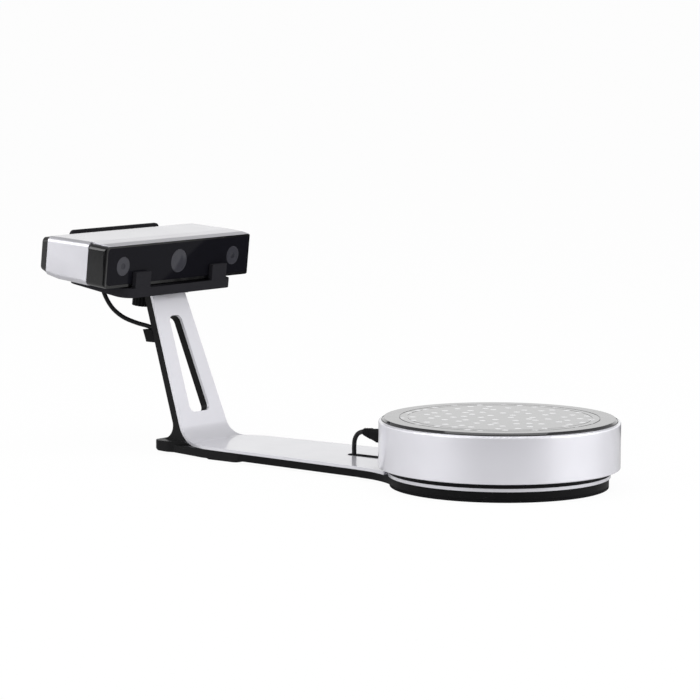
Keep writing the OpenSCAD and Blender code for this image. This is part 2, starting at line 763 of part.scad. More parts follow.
// snap-in clip on the arm's back, below the lead's way in
clip_low = 102;
clip_h = 11.6;
module arm_clip() {
    reach = 11;
    function back_x(z) = -arm_x - (z - plate_top) * tan(arm_lean) - (arm_back + 0.02) / cos(arm_lean);
    color("#1c1c1f") difference() {
        along_y(-26, -13) polygon([for (z = [clip_low, clip_low + clip_h]) [back_x(z), z],
            for (z = [clip_low + clip_h, clip_low]) [back_x(z) - reach, z]]);
        on_arm() translate([-arm_back - 8, lead_y - lead_r - 0.5, clip_low]) cube([9, 2 * lead_r + 1, 20]);
    }
}

// strain relief where the lead leaves the head's underside
module head_gland() {
    color("#161618") on_head() translate([gland_u, gland_v, 0]) difference() {
        union() {
            translate([0, 0, head_low - 7]) cylinder(r1 = lead_r + 0.8, r2 = 4.4, h = 7, $fn = 40);
            translate([0, 0, head_low]) cylinder(r = 4.4, h = shell_wall + 1.4, $fn = 40);
            translate([0, 0, head_low + shell_wall]) cylinder(r = 6, h = 1.4, $fn = 40);
        }
        translate([0, 0, head_low - 8]) cylinder(r = lead_r + 0.1, h = 12, $fn = 32);
    }
}

// ==================== cradle ====================

cradle_screws_u = [-28.8, -5.9];             // behind and in front of the arm
module at_cradle_screws() {
    on_head() for (u = cradle_screws_u, v = [-18, 18]) translate([u, v, tray_low]) children();
}

module tray_outline(inset) {
    length = tray_front - tray_back;
    translate([(tray_front + tray_back) / 2, 0])
        rounded_rect(length - 2 * inset, 2 * (tray_half - inset), 11 - inset);
}

// bent black bracket: tray with a rim, two hooks in front, a frame behind
module cradle() {
    hook_foot = tray_face - 1.5;
    color("#202023") on_head() difference() {
        union() {
            translate([0, 0, tray_face - tray_t]) linear_extrude(tray_t) tray_outline(0);
            // rim, shallower towards the back
            difference() {
                translate([0, 0, tray_low]) linear_extrude(tray_rim - 1) tray_outline(0);
                translate([0, 0, tray_low - 1]) linear_extrude(tray_rim + 1) tray_outline(tray_t);
                along_y(-big / 2, big / 2) polygon([[-8, tray_low], [tray_back - 1, tray_low + rim_rise],
                    [tray_back - 1, tray_low - 1], [-8, tray_low - 1]]);
            }
            for (v = [-1, 1]) translate([seat, v * hook_v - hook_w / 2, hook_foot])
                cube([tray_front - seat - 0.1, hook_w, head_low + hook_h - hook_foot]);
            // tongue back to the frame
            translate([frame_back + 1, -frame_half + 8, tray_face - tray_t])
                cube([tray_back - frame_back + 10, 2 * frame_half - 16, tray_t - 0.1]);
            along_x(frame_back, frame_back + tray_t)
                section(2 * frame_half, tray_face - tray_t, frame_top, 5);
        }
        along_x(frame_back - 1, frame_back + tray_t + 1) section(2 * frame_half - 26, -15, 13, 5);
        translate([screw_u, 0, tray_low - 1]) cylinder(r = shank_r + 0.4, h = 20);
        translate([gland_u, gland_v, tray_low - 1]) cylinder(r = 9, h = 20);
        for (v = [-1, 1]) translate([-34, v * 65, tray_low - 1])
            linear_extrude(tray_rim + 2) rounded_rect(40, 9, 4);
        for (u = cradle_screws_u, v = [-18, 18]) translate([u, v, tray_low]) cylinder(r = 2.1, h = 20, $fn = 24);
    }
}

module cradle_screws() {
    color("dimgray") at_cradle_screws() screw(2, tray_rim - 0.2, 3.8, 2.2);
}

module cradle_pads() {
    color("#0f0f10") on_head() {
        for (u = [-66, -12], v = [-1, 1]) translate([u, v * 38, tray_face])
            linear_extrude(pad_t + seat) rounded_rect(10, 24, 3);
    }
}

washer_t = 0.9;
module thumb_screw() {
    collar_h = 12 - washer_t - seat;
    knob_top = tray_face - tray_t - 12;
    color("#19191b") on_head() translate([screw_u, 0, 0]) {
        difference() {
            translate([0, 0, knob_top - knob_h]) cylinder(r = knob_r, h = knob_h);
            for (a = [0:20:340]) rotate(a) translate([knob_r + 0.4, 0, knob_top - knob_h - 1])
                cylinder(r = 1.1, h = knob_h + 2, $fn = 16);
        }
        translate([0, 0, knob_top - 0.01]) cylinder(r = 6, h = collar_h);
        translate([0, 0, knob_top]) cylinder(r = shank_r, h = head_low + 8 - knob_top);
    }
}

module thumb_washer() {
    color("silver") on_head() translate([screw_u, 0, tray_face - tray_t - washer_t])
        ring(7.5, shank_r + 0.4, washer_t);
}

module screw_insert() {
    color("goldenrod") on_head() translate([screw_u, 0, head_low]) ring(6, shank_r + fit, 11);
}

// ==================== head ====================

module shell_sections(inset) {
    low_back = head_low + 1.8;
    high_back = head_top - 2.4;
    for (s = [[-cover_d, head_low, head_top], [-60, head_low, head_top - 1.8], [rear_u + 0.1, low_back, high_back]])
        translate([s[0] - 0.1, 0, 0]) rotate([90, 0, 90]) linear_extrude(0.1)
            section(head_w - 2 * inset, s[1] + inset, s[2] - inset, 5 - inset, $fn = 32);
}

module head_shell() {
    color("gainsboro") on_head() difference() {
        union() {
            hull() shell_sections(0);
            // the top runs forward over the black cover and slopes to its edge
            intersection() {
                along_y(-head_w / 2 + 4.5, head_w / 2 - 4.5) polygon([[-cover_d - 1, head_top - shell_wall],
                    [-cover_d - 1, head_top], [-cover_d + 3, head_top], [0.2, face_h / 2 + 1.2],
                    [0.2, face_h / 2], [-cover_d, face_h / 2]]);
                linear_extrude(big) rounded_rect(4 * cover_d, head_w, 5);
            }
        }
        hull() {
            shell_sections(shell_wall);
            translate([-cover_d + 5, 0, -1]) cube([12, head_w - 2 * shell_wall - 4, 30], center = true);
            translate([rear_u - 4, 0, 0]) cube([2, head_w - 2 * shell_wall - 4, 30], center = true);
        }
        translate([gland_u, gland_v, head_low - 1]) cylinder(r = 4.5, h = 5, $fn = 40);
        translate([screw_u, 0, head_low - 1]) cylinder(r = 6 + fit, h = 5);
    }
}

module cover_outline(inset) {
    section(head_w - 0.8 - 2 * inset, -face_h / 2 + inset, face_h / 2 - fit - inset, 5 - inset);
}

// black front cover: square-backed, with rounded upright corners in front
module front_cover() {
    glass_w = head_w - 7;
    color("#17171a") on_head() difference() {
        intersection() {
            along_x(-cover_d, 0) cover_outline(0);
            translate([0, 0, -big / 2]) linear_extrude(big) union() {
                rounded_rect(2 * cover_d, head_w, 7);
                translate([-2 * cover_d, -head_w / 2]) square([1.5 * cover_d, head_w]);
            }
        }
        along_x(-cover_d - 1, -glass_t - 2.6) cover_outline(shell_wall);
        along_x(-glass_t - 0.3, 1) glass_outline(fit);
        along_x(-glass_t - 3, 0) glass_outline(-3);
    }
}

module glass_outline(grow) {
    section(head_w - 7 + 2 * grow, -face_h / 2 + 2.6 - grow, face_h / 2 - 2 + grow, 4 + grow);
}

module windows_at() {
    for (v = [-camera_v, camera_v]) translate([0, v, 0]) children();
}

module front_glass() {
    color("#26262d") on_head() difference() {
        along_x(-glass_t - 0.3, -0.3) glass_outline(0);
        windows_at() rotate([0, 90, 0]) cylinder(r = camera_window_r + fit, h = 20, center = true);
        rotate([0, 90, 0]) cylinder(r = projector_window_r + fit, h = 20, center = true);
    }
}

module camera_windows() {
    color("#55555e") on_head() windows_at() translate([-glass_t - 0.3, 0, 0]) rotate([0, 90, 0])
        cylinder(r = camera_window_r, h = glass_t);
}

module projector_window() {
    color("#55585e") on_head() translate([-glass_t - 0.3, 0, 0]) rotate([0, 90, 0])
        cylinder(r = projector_window_r, h = glass_t);
}

rail_u = -34;
rail_t = 6;
module camera(v) {
    color("#2b2b30") on_head() translate([0, v, 0]) difference() {
        union() {
            translate([rail_u + rail_t, -12, -12]) cube([12, 24, 24]);
            translate([-17, 0, 0]) rotate([0, 90, 0]) cylinder(r = camera_window_r - 1, h = 17 - glass_t - 0.6);
        }
        translate([-6, 0, 0]) rotate([0, 90, 0]) cylinder(r1 = 3.5, r2 = camera_window_r - 2, h = 6 - glass_t);
    }
}

module camera_near() { camera(-camera_v); }
module camera_far() { camera(camera_v); }

module projector() {
    color("#2f2f35") on_head() difference() {
        union() {
            translate([rail_u + rail_t, -21, -15]) cube([16, 42, 29]);
            translate([-13, 0, 0]) rotate([0, 90, 0]) cylinder(r = projector_window_r - 1, h = 13 - glass_t - 0.6);
        }
        translate([-7, 0, 0]) rotate([0, 90, 0]) cylinder(r1 = 5, r2 = projector_window_r - 2, h = 7 - glass_t);
    }
}

// aluminium rail that holds the cameras and the projector at a fixed distance
module optical_rail() {
    inner_w = head_w - 2 * shell_wall;
    color("silver") on_head() difference() {
        along_x(rail_u, rail_u + rail_t) section(inner_w - 2 * fit, head_low + shell_wall, 14, 3.2);
        for (v = [-1, 1], k = [34, 50]) translate([rail_u - 1, v * k, 0]) rotate([0, 90, 0]) cylinder(r = 5, h = 20);
    }
}

module heat_sink() {
    low = -8;
    high = 13;
    color("silver") on_head() {
        translate([rail_u - 3, -18, low]) cube([3, 36, high - low]);
        for (k = [0:7]) translate([rail_u - 16, -18 + k * 4.95, low]) cube([13.1, 1.35, high - low]);
    }
}

board_u = -57;
board_v = head_w / 2 - 7.2;                  // the board's end beside the power button
module main_board() {
    color("seagreen") on_head() {
        translate([board_u, board_v - 112, -14]) cube([board_t, 112, 27]);
        translate([board_u + board_t, board_v - 78, -8]) cube([1.4, 14, 14]);
        translate([board_u + board_t, board_v - 54, -9]) cube([1.2, 10, 12]);
        translate([board_u + board_t, board_v - 36, -11]) cube([6, 8, 20]);
    }
}

module board_standoffs() {
    color("silver") on_head() for (v = [60, 6], w = [-10, 9]) translate([board_u + board_t, board_v - v, w])
        rotate([0, 90, 0]) cylinder(r = 2.4, h = rail_u - board_u - board_t, $fn = 32);
}

fan_v = -36;
fan_half = 12.5;
fan_t = 10;
fan_u = back_u + shell_wall;
module at_fan() {
    on_head() translate([fan_u, fan_v, 0]) rotate([0, 90, 0]) children();
}

module fan_frame() {
    color("#222225") at_fan() difference() {
        linear_extrude(fan_t) rounded_rect(2 * fan_half - 1, 2 * fan_half, 2);
        translate([0, 0, 1.6]) cylinder(r = fan_half - 1.2, h = fan_t);
        translate([0, 0, -1]) difference() {
            cylinder(r = fan_half - 1.2, h = 4);
            cylinder(r = 6, h = 4);
            for (a = [45:90:315]) rotate(a) translate([0, -0.8, 0]) cube([fan_half, 1.6, 4]);
        }
        translate([0, 0, 1.4]) cylinder(r = 1.05, h = 1);
    }
    color("#222225") at_fan() translate([0, 0, 1.5]) ring(2.4, 1.05, 2);
}

module fan_rotor() {
    blades = 7;
    color("#333338") at_fan() {
        translate([0, 0, 3.8]) cylinder(r = 6, h = 5);
        translate([0, 0, 1.6]) cylinder(r = 1, h = 3, $fn = 24);
        for (i = [0:blades - 1]) rotate(360 * i / blades) translate([4, 0, 6.3]) rotate([35, 0, 0])
            translate([0, -3, -0.4]) cube([fan_half - 6.2, 6, 0.8]);
    }
}

usb_v = frame_half - 41;                     // both sockets are behind the frame's window
jack_v = frame_half - 19;
button_v = head_w / 2 - 27.2;
light_v = button_v - 12;
rear_low = head_low + 2.6;
rear_high = head_top - 3.2;
module rear_cover() {
    color("#1b1b1e") on_head() difference() {
        union() {
            hull() {
                along_x(rear_u - 0.5, rear_u) section(head_w - 1.6, rear_low, rear_high, 4.5, $fn = 32);
                along_x(back_u, back_u + 1) section(head_w - 5, rear_low + 2.4, rear_high - 1.6, 4.5, $fn = 32);
            }
        }
        along_x(back_u + shell_wall, rear_u + 3) section(head_w - 2 * shell_wall - 5, rear_low + 4.6,
            rear_high - 3.6, 2.6, $fn = 32);
        for (k = [-5:5]) translate([back_u - 1, fan_v + k * 2.4 - 0.6, -9]) cube([4, 1.2, 18]);
        translate([back_u - 1, usb_v - 6.2, -8.2]) cube([5, 12.4, 11.4]);
        translate([back_u - 1, jack_v - 5.2, -8.2]) cube([5, 10.4, 11.4]);
        translate([back_u - 1, button_v, -2.5]) rotate([0, 90, 0]) cylinder(r = 5.5 + fit, h = 5);
        translate([back_u - 1, light_v, -2.5]) rotate([0, 90, 0]) cylinder(r = 1.2 + fit, h = 5, $fn = 24);
        at_rear_screws() translate([0, 0, -1]) cylinder(r = 1.6, h = 9, $fn = 24);
    }
}

module at_rear_screws() {
    for (v = [-1, 1], w = [-9, 10]) translate([back_u, v * (head_w / 2 - 10.2), w]) rotate([0, 90, 0]) children();
}

module rear_screws() {
    color("dimgray") on_head() at_rear_screws() screw(1.5, 6, 2.8, 1.4);
}

module usb_port() {
    depth = board_u - back_u;
    color("silver") on_head() difference() {
        translate([back_u + 0.4, usb_v - 6, -8]) cube([depth - 0.4, 12, 11]);
        translate([back_u - 1, usb_v - 4.3, -6.4]) cube([10, 8.6, 7.8]);
    }
    color("white") on_head() translate([back_u + 2, usb_v - 2.8, -2.2 - 1.6]) cube([7.1, 5.6, 2.8]);
}

module power_jack() {
    depth = board_u - back_u;
    color("#202022") on_head() difference() {
        translate([back_u + 0.4, jack_v - 5, -8]) cube([depth - 0.4, 10, 11]);
        translate([back_u - 1, jack_v, -2.5]) rotate([0, 90, 0]) cylinder(r = 3.2, h = 10);
    }
    color("silver") on_head() translate([back_u + 1.6, jack_v, -2.5]) rotate([0, 90, 0]) cylinder(r = 1, h = 7.5, $fn = 24);
}

press = 1.5;            // travel of the power button
module power_button() {
    color("#2a2a2e") on_head() translate([0, button_v, -2.5]) rotate([0, 90, 0]) {
        translate([0, 0, back_u - 1.8]) cylinder(r = 5.5, h = 5);
        translate([0, 0, back_u + shell_wall + 0.3]) cylinder(r = 7, h = 1.2);
        translate([0, 0, back_u]) cylinder(r = 2, h = board_u - 6.5 - back_u);
    }
}

module button_switch() {
    color("#111111") on_head() difference() {
        translate([board_u - 8, button_v - 4, -6.5]) cube([8, 8, 8]);
        translate([board_u - 9, button_v, -2.5]) rotate([0, 90, 0]) cylinder(r = 2 + fit, h = 5.5);
    }
}

module status_light() {
    color("lightcyan") on_head() translate([back_u - 0.2, light_v, -2.5]) rotate([0, 90, 0])
        cylinder(r = 1.2, h = board_u - back_u + 0.2, $fn = 24);
}

face_plate();
arm_core();
base_core();
foot_ring();
foot_strips();
centre_pad();
deck_screws();
foot_screws();
drum_floor();
drum_shell();
drum_screws();
platter();
marker_disc();
drive_gear();
gear_screws();
spindle();
spindle_clip();
bearing_inner();
bearing_outer();
bearing_balls();
stepper_motor();
motor_shaft();
pinion();
motor_bracket();
bracket_screws();
turntable_board();
lead_socket();
lead();
lead_plug();
slot_grommet();
arm_clip();
head_gland();
cradle();
cradle_screws();
cradle_pads();
thumb_screw();
thumb_washer();
screw_insert();
head_shell();
front_cover();
front_glass();
camera_windows();
projector_window();
camera_near();
camera_far();
projector();
optical_rail();
heat_sink();
main_board();
board_standoffs();
fan_frame();
fan_rotor();
rear_cover();
rear_screws();
usb_port();
power_jack();
power_button();
button_switch();
status_light();
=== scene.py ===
"""Looks of a desktop 3-D scanner: finishes, softened edges, windows, the lead, camera and studio.

Metres, +Z up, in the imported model's frame: the origin is on the platter's axis at desk level, and the
head looks towards +X. Every shown piece is a CAD node with a finish, a softened or redrawn copy shown
in a node's place, or a small detail added to a node.
"""

import json
import math

import bmesh
import bpy
from mathutils import Matrix, Vector

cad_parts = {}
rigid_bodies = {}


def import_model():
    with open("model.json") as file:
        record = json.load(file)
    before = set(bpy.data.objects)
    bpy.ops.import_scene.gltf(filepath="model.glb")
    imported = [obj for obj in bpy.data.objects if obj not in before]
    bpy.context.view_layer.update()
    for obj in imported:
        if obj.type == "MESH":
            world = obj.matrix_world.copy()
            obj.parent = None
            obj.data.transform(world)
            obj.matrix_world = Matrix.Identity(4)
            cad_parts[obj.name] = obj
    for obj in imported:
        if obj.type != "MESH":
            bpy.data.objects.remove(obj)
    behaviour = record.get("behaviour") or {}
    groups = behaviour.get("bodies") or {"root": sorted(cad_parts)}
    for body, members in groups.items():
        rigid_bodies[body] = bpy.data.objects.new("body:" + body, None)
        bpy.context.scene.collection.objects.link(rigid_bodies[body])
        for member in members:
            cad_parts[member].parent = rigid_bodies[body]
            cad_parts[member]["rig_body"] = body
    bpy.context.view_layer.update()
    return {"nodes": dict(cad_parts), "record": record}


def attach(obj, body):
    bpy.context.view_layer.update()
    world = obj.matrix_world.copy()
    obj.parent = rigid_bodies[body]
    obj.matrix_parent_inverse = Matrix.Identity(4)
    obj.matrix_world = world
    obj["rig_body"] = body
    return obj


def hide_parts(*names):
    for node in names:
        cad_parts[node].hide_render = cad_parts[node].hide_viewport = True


MM = 0.001
WHITE = (1.0, 1.0, 1.0, 1.0)

# the head's own frame: the middle of its front face, its way ahead and up, and the face's upper edge
HEAD_TILT = math.radians(6.0)
HEAD_AT = Vector((-372.1, 0.0, 178.2)) * MM
HEAD_AHEAD = Vector((math.cos(HEAD_TILT), 0.0, -math.sin(HEAD_TILT)))
HEAD_UP = Vector((math.sin(HEAD_TILT), 0.0, math.cos(HEAD_TILT)))
HEAD_LEFT = Vector((0.0, 1.0, 0.0))
FACE_TOP = 19.65 * MM

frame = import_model()


# ---------------------------------------------------------------- shader nodes

class Nodes:
    """Short calls for the nodes of one node tree. A value is a number, a tuple or a node's output."""

    def __init__(self, tree):
        self.tree = tree

    def feed(self, socket, value):
        if isinstance(value, bpy.types.NodeSocket):
            self.tree.links.new(value, socket)
        else:
            socket.default_value = value

    def node(self, kind, **inputs):
        made = self.tree.nodes.new(kind)
        for name, value in inputs.items():
            self.feed(made.inputs[name.replace("_", " ")], value)
        return made

    def maths(self, operation, *values):
        made = self.tree.nodes.new("ShaderNodeMath")
        made.operation = operation
        for socket, value in zip(made.inputs, values):
            self.feed(socket, value)
        return made.outputs[0]

    def mixed(self, share, one, other):
        """One shader where share is 0, the other where it is 1."""
        made = self.tree.nodes.new("ShaderNodeMixShader")
        for socket, value in zip(made.inputs, (share, one, other)):
            self.feed(socket, value)
        return made.outputs[0]

    def beyond(self, where, way, start, over):
        """Rises from 0 to 1 along way, from a distance of start on, over a width of over."""
        along = self.tree.nodes.new("ShaderNodeVectorMath")
        along.operation = "DOT_PRODUCT"
        self.feed(along.inputs[0], where)
        self.feed(along.inputs[1], way)
        rise = self.node("ShaderNodeMapRange", Value=along.outputs["Value"], From_Min=start,
                         From_Max=start + over)
        return rise.outputs["Result"]


class Finish(Nodes):
    """A material with one Principled shader, whose sockets are given by name with _ for a space."""

    def __init__(self, name, tone, roughness, metallic=0.0, **sockets):
        self.material = bpy.data.materials.new(name)
        self.material.use_nodes = True
        super().__init__(self.material.node_tree)
        self.principled = self.tree.nodes["Principled BSDF"]
        self.relief = None
        self.set(Base_Color=(*tone, 1.0), Roughness=roughness, Metallic=metallic, **sockets)

    def set(self, **sockets):
        for name, value in sockets.items():
            self.feed(self.principled.inputs[name.replace("_", " ")], value)
        return self

    def place(self, scale=(1.0, 1.0, 1.0)):
        """Object coordinates, scaled along each axis: what is drawn there gets finer with scale."""
        where = self.node("ShaderNodeTexCoord").outputs["Object"]
        return self.node("ShaderNodeMapping", Vector=where, Scale=scale).outputs["Vector"]

    def noise(self, size, detail=3.0, scale=(1.0, 1.0, 1.0)):
        """Noise whose features are about size metres across."""
        return self.node("ShaderNodeTexNoise", Vector=self.place(scale), Scale=1.0 / size,
                         Detail=detail).outputs["Fac"]

    def ramp(self, value, *stops, sharp=False):
        """Maps value to tones: stops are (position, colour or grey)."""
        made = self.node("ShaderNodeValToRGB", Fac=value)
        made.color_ramp.interpolation = "CONSTANT" if sharp else "EASE"
        while len(made.color_ramp.elements) < len(stops):
            made.color_ramp.elements.new(0.5)
        for element, (position, tone) in zip(made.color_ramp.elements, stops):
            element.position = position
            element.color = (*tone, 1.0) if isinstance(tone, tuple) else (tone, tone, tone, 1.0)
        return made.outputs["Color"]

    def wander(self, noise, low, high):
        """Spreads noise, which lies mostly between 0.35 and 0.65, over low to high."""
        return self.ramp(noise, (0.35, low), (0.65, high))

    def roughness(self, noise, low, high):
        return self.set(Roughness=self.wander(noise, low, high))

    def tint(self, noise, low, high):
        return self.set(Base_Color=self.wander(noise, low, high))

    def bump(self, value, depth):
        """Adds relief of about depth metres."""
        made = self.node("ShaderNodeBump", Height=value, Distance=depth, Strength=1.0)
        if self.relief is not None:
            self.feed(made.inputs["Normal"], self.relief)
        self.relief = made.outputs["Normal"]
        return self.set(Normal=self.relief)


def shade(tone, by):
    return tuple(c * by for c in tone)


# ---------------------------------------------------------------- finishes

def satin_metal(name, tone, roughness, metallic, **sockets):
    """Anodised or lacquered metal: a fine even grain, and a little cloudiness in its gloss."""
    grain, clouds, patches, depth = 0.3 * MM, 35 * MM, 60 * MM, 0.0008 * MM
    made = Finish(name, tone, roughness, metallic, **sockets)
    made.roughness(made.noise(clouds), roughness * 0.92, roughness * 1.1)
    made.tint(made.noise(patches, 2.0), shade(tone, 0.985), tone)
    return made.bump(made.noise(grain, 2.0), depth)


def moulded(name, tone, roughness, grain=0.35 * MM, **sockets):
    """Moulded plastic or powder coat: a fine orange-peel relief, slightly paler on its high spots."""
    clouds, depth = 20 * MM, 0.012 * MM
    made = Finish(name, tone, roughness, **sockets)
    relief = made.noise(grain, 4.0)
    made.tint(relief, shade(tone, 0.85), shade(tone, 1.2))
    made.roughness(made.noise(clouds), roughness * 0.9, roughness * 1.15)
    return made.bump(relief, depth)


def glossy(name, tone, roughness, **sockets):
    """Gloss plastic or glass: almost flat, with a trace of waviness and of handling marks."""
    marks, patches, waves, depth = 12 * MM, 50 * MM, 40 * MM, 0.01 * MM
    made = Finish(name, tone, roughness, **sockets)
    made.roughness(made.noise(marks, 5.0), roughness, roughness * 1.8)
    made.tint(made.noise(patches), shade(tone, 0.92), tone)
    return made.bump(made.noise(waves, 1.0), depth)


def machined(name, tone, roughness, scale=(1.0, 1.0, 14.0)):
    """Bare turned or drawn metal with fine lines, close together along the axis of the largest scale."""
    spacing, depth = 1.5 * MM, 0.004 * MM
    made = Finish(name, tone, roughness, 1.0)
    lines = made.noise(spacing, 3.0, scale)
    made.roughness(lines, roughness * 0.8, roughness * 1.25)
    made.tint(lines, shade(tone, 0.9), tone)
    return made.bump(lines, depth)


def dotted_disc(name):
    """Gloss black disc with scattered pale marker dots, which the scanner's cameras follow."""
    black, dot, smears = (0.012, 0.012, 0.014), (0.55, 0.55, 0.58), 15 * MM
    cell, reach, scatter = 17 * MM, 0.17, 0.55      # spacing; a dot's radius and its wandering, in cells
    made = Finish(name, black, 0.07, Coat_Weight=0.5, Coat_Roughness=0.03)
    where = made.place((1.0 / cell, 1.0 / cell, 0.0))
    cells = made.node("ShaderNodeTexVoronoi", Vector=where, Scale=1.0, Randomness=scatter)
    cells.voronoi_dimensions = "2D"
    made.set(Base_Color=made.ramp(cells.outputs["Distance"], (0.0, dot), (reach, black), sharp=True))
    return made.roughness(made.noise(smears, 5.0), 0.05, 0.1)


def circuit_board(name):
    """Green solder mask with paler tracks under it, drawn out along X."""
    green, track, width, depth = (0.012, 0.10, 0.045), (0.03, 0.17, 0.08), 3 * MM, 0.02 * MM
    made = Finish(name, green, 0.35)
    cells = made.node("ShaderNodeTexVoronoi", Vector=made.place((0.2, 1.0, 1.0)), Scale=1.0 / width)
    cells.distance = "CHEBYCHEV"
    made.set(Base_Color=made.ramp(cells.outputs["Distance"], (0.0, track), (0.4, green), sharp=True))
    return made.bump(cells.outputs["Distance"], depth)


SILVER = (0.80, 0.795, 0.845)
BLACK = (0.006, 0.006, 0.0066)
LACQUER = {"Coat_Weight": 0.9, "Coat_Roughness": 0.06}
THIN_LACQUER = {"Coat_Weight": 0.9, "Coat_Roughness": 0.07}
DULL = {"Specular_IOR_Level": 0.08}

# by material slot
FINISHES = {
    "silver_sheet": satin_metal("silver_sheet", shade(SILVER, 0.88), 0.38, 0.35, **LACQUER),
    "silver_paint": satin_metal("silver_paint", SILVER, 0.34, 0.9, **THIN_LACQUER),
    "black_cast": moulded("black_cast", BLACK, 0.5, **DULL),
    "black_sheet": moulded("black_sheet", (0.017, 0.0165, 0.020), 0.6, grain=0.25 * MM, **DULL),
    "black_gloss": glossy("black_gloss", (0.003, 0.003, 0.0035), 0.08, Specular_IOR_Level=0.9),
    "smoked_glass": glossy("smoked_glass", (0.0070, 0.0069, 0.0095), 0.006, Specular_IOR_Level=0.1),
    "lens_glass": glossy("lens_glass", (0.042, 0.042, 0.051), 0.006, Specular_IOR_Level=0.5),
    "rubber": moulded("rubber", (0.007, 0.007, 0.0077), 0.75, grain=0.5 * MM, **DULL),
    "disc": dotted_disc("disc"),
    "steel": machined("steel", (0.52, 0.53, 0.55), 0.3),
    "zinc_screw": machined("zinc_screw", (0.55, 0.55, 0.56), 0.25),
    "brass": machined("brass", (0.68, 0.50, 0.20), 0.28),
    "heat_alloy": machined("heat_alloy", (0.66, 0.67, 0.69), 0.35, (10.0, 1.0, 1.0)),
    "acetal": moulded("acetal", (0.72, 0.69, 0.60), 0.4, grain=1.0 * MM),
    "board": circuit_board("board"),
    "lead_jacket": moulded("lead_jacket", (0.006, 0.006, 0.007), 0.4, grain=0.8 * MM,
                           Specular_IOR_Level=0.25),
    "light_pipe": glossy("light_pipe", (0.72, 0.84, 0.88), 0.3, Transmission_Weight=0.6),
    "motor_case": satin_metal("motor_case", (0.05, 0.05, 0.055), 0.4, 0.8),
}

# by node, where its gloss differs from the rest of its slot; the drum's tone is also painted brighter, as
# painted light
OWN_FINISH = {
    "platter": glossy("platter_gloss", (0.010, 0.010, 0.012), 0.07, Coat_Weight=0.4,
                      Coat_Roughness=0.03),
    "arm_core": moulded("core_lacquer", BLACK, 0.5, Coat_Weight=0.2, Coat_Roughness=0.12, **DULL),
    # the drum's silver is painted 1.1 times brighter than the head's silver paint: painted light, standing
    # in for more light on the drum; its gloss differs too
    "drum_shell": satin_metal("drum_silver_painted_brighter", shade(SILVER, 1.1), 0.36, 0.6, **LACQUER),
}
PUPIL = glossy("pupil", (0.027, 0.027, 0.034), 0.006, Specular_IOR_Level=0.5)


# ---------------------------------------------------------------- pieces

slot_of = {row["node"]: row["material_slot"] for row in frame["record"]["subparts"]}


def finish_of(node):
    return OWN_FINISH.get(node, FINISHES[slot_of[node]])


for node, cad in frame["nodes"].items():
    cad.data.materials.clear()
    cad.data.materials.append(finish_of(node).material)


def added(name, mesh, like, finish=None):
    """A piece on the body of the node like, with a finish or else the node's own."""
    mesh.materials.append((finish or finish_of(like)).material)
    piece = bpy.data.objects.new(name, mesh)
    bpy.context.scene.collection.objects.link(piece)
    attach(piece, frame["nodes"][like]["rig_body"])
    return piece


def shown(name, mesh, node):
    """Shows mesh in place of a CAD node."""
    piece = added(name, mesh, node)
    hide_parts(node)
    return piece


# ---------------------------------------------------------------- softened nodes

def cut(bm, point, way):
    """Cuts every face along a plane."""
    geometry = bm.verts[:] + bm.edges[:] + bm.faces[:]
    bmesh.ops.bisect_plane(bm, geom=geometry, plane_co=point, plane_no=way)


def slope_front(bm):
    """Slopes the top of the head's shell down to its front edge, a narrow strip leading into the slope."""
    length, drop, strip = 9 * MM, 0.85 * MM, 0.7 * MM
    between = FACE_TOP + 0.5 * MM           # the shell's inner top is below this, its outer top above
    for back in (length, length - strip):
        cut(bm, HEAD_AT - HEAD_AHEAD * back, HEAD_AHEAD)
    for vert in bm.verts:
        ahead, up = (vert.co - HEAD_AT).dot(HEAD_AHEAD), (vert.co - HEAD_AT).dot(HEAD_UP)
        if ahead > -length and up > between:
            vert.co -= HEAD_UP * drop * (ahead + length) / length


def round_corners(bm):
    """Rounds the upright corners of the front cover, and the ends of its glass with them.

    Each corner is cut upright into steps, and what is ahead of its quarter circle moves back onto it.
    """
    half_width, radius, steps = 104.8 * MM, 3.5 * MM, 8
    for side in (-1.0, 1.0):
        for turn in (math.radians(90.0 * i / steps) for i in range(steps)):
            out = half_width - radius * (1.0 - math.sin(turn))
            cut(bm, HEAD_LEFT * side * out, HEAD_LEFT * side)
    for vert in bm.verts:
        past = min(max(abs(vert.co.y) - half_width + radius, 0.0), radius)
        limit = math.sqrt(radius ** 2 - past ** 2) - radius
        ahead = (vert.co - HEAD_AT).dot(HEAD_AHEAD)
        if past and ahead > limit:
            vert.co += HEAD_AHEAD * (limit - ahead)


# the width in mm to which each node's edges are rounded
EDGES = {
    "face_plate": 0.55, "arm_core": 0.6, "base_core": 0.8, "foot_ring": 0.4, "foot_strips": 0.4,
    "drum_shell": 0.35, "drum_floor": 0.4, "platter": 0.3, "marker_disc": 0.15, "slot_grommet": 0.2,
    "arm_clip": 0.6, "head_gland": 0.4, "cradle": 0.5, "cradle_pads": 0.2, "thumb_screw": 0.35,
    "thumb_washer": 0.15, "head_shell": 0.25, "front_cover": 0.7, "front_glass": 0.25,
    "rear_cover": 0.6, "power_button": 0.4, "lead_plug": 0.7, "usb_port": 0.15, "power_jack": 0.3,
}
RESHAPED = {"head_shell": slope_front, "front_cover": round_corners, "front_glass": round_corners}
# nodes with upright walls round the platter's axis
ROUND = ("face_plate", "base_core", "foot_ring", "drum_shell", "drum_floor", "platter", "marker_disc")


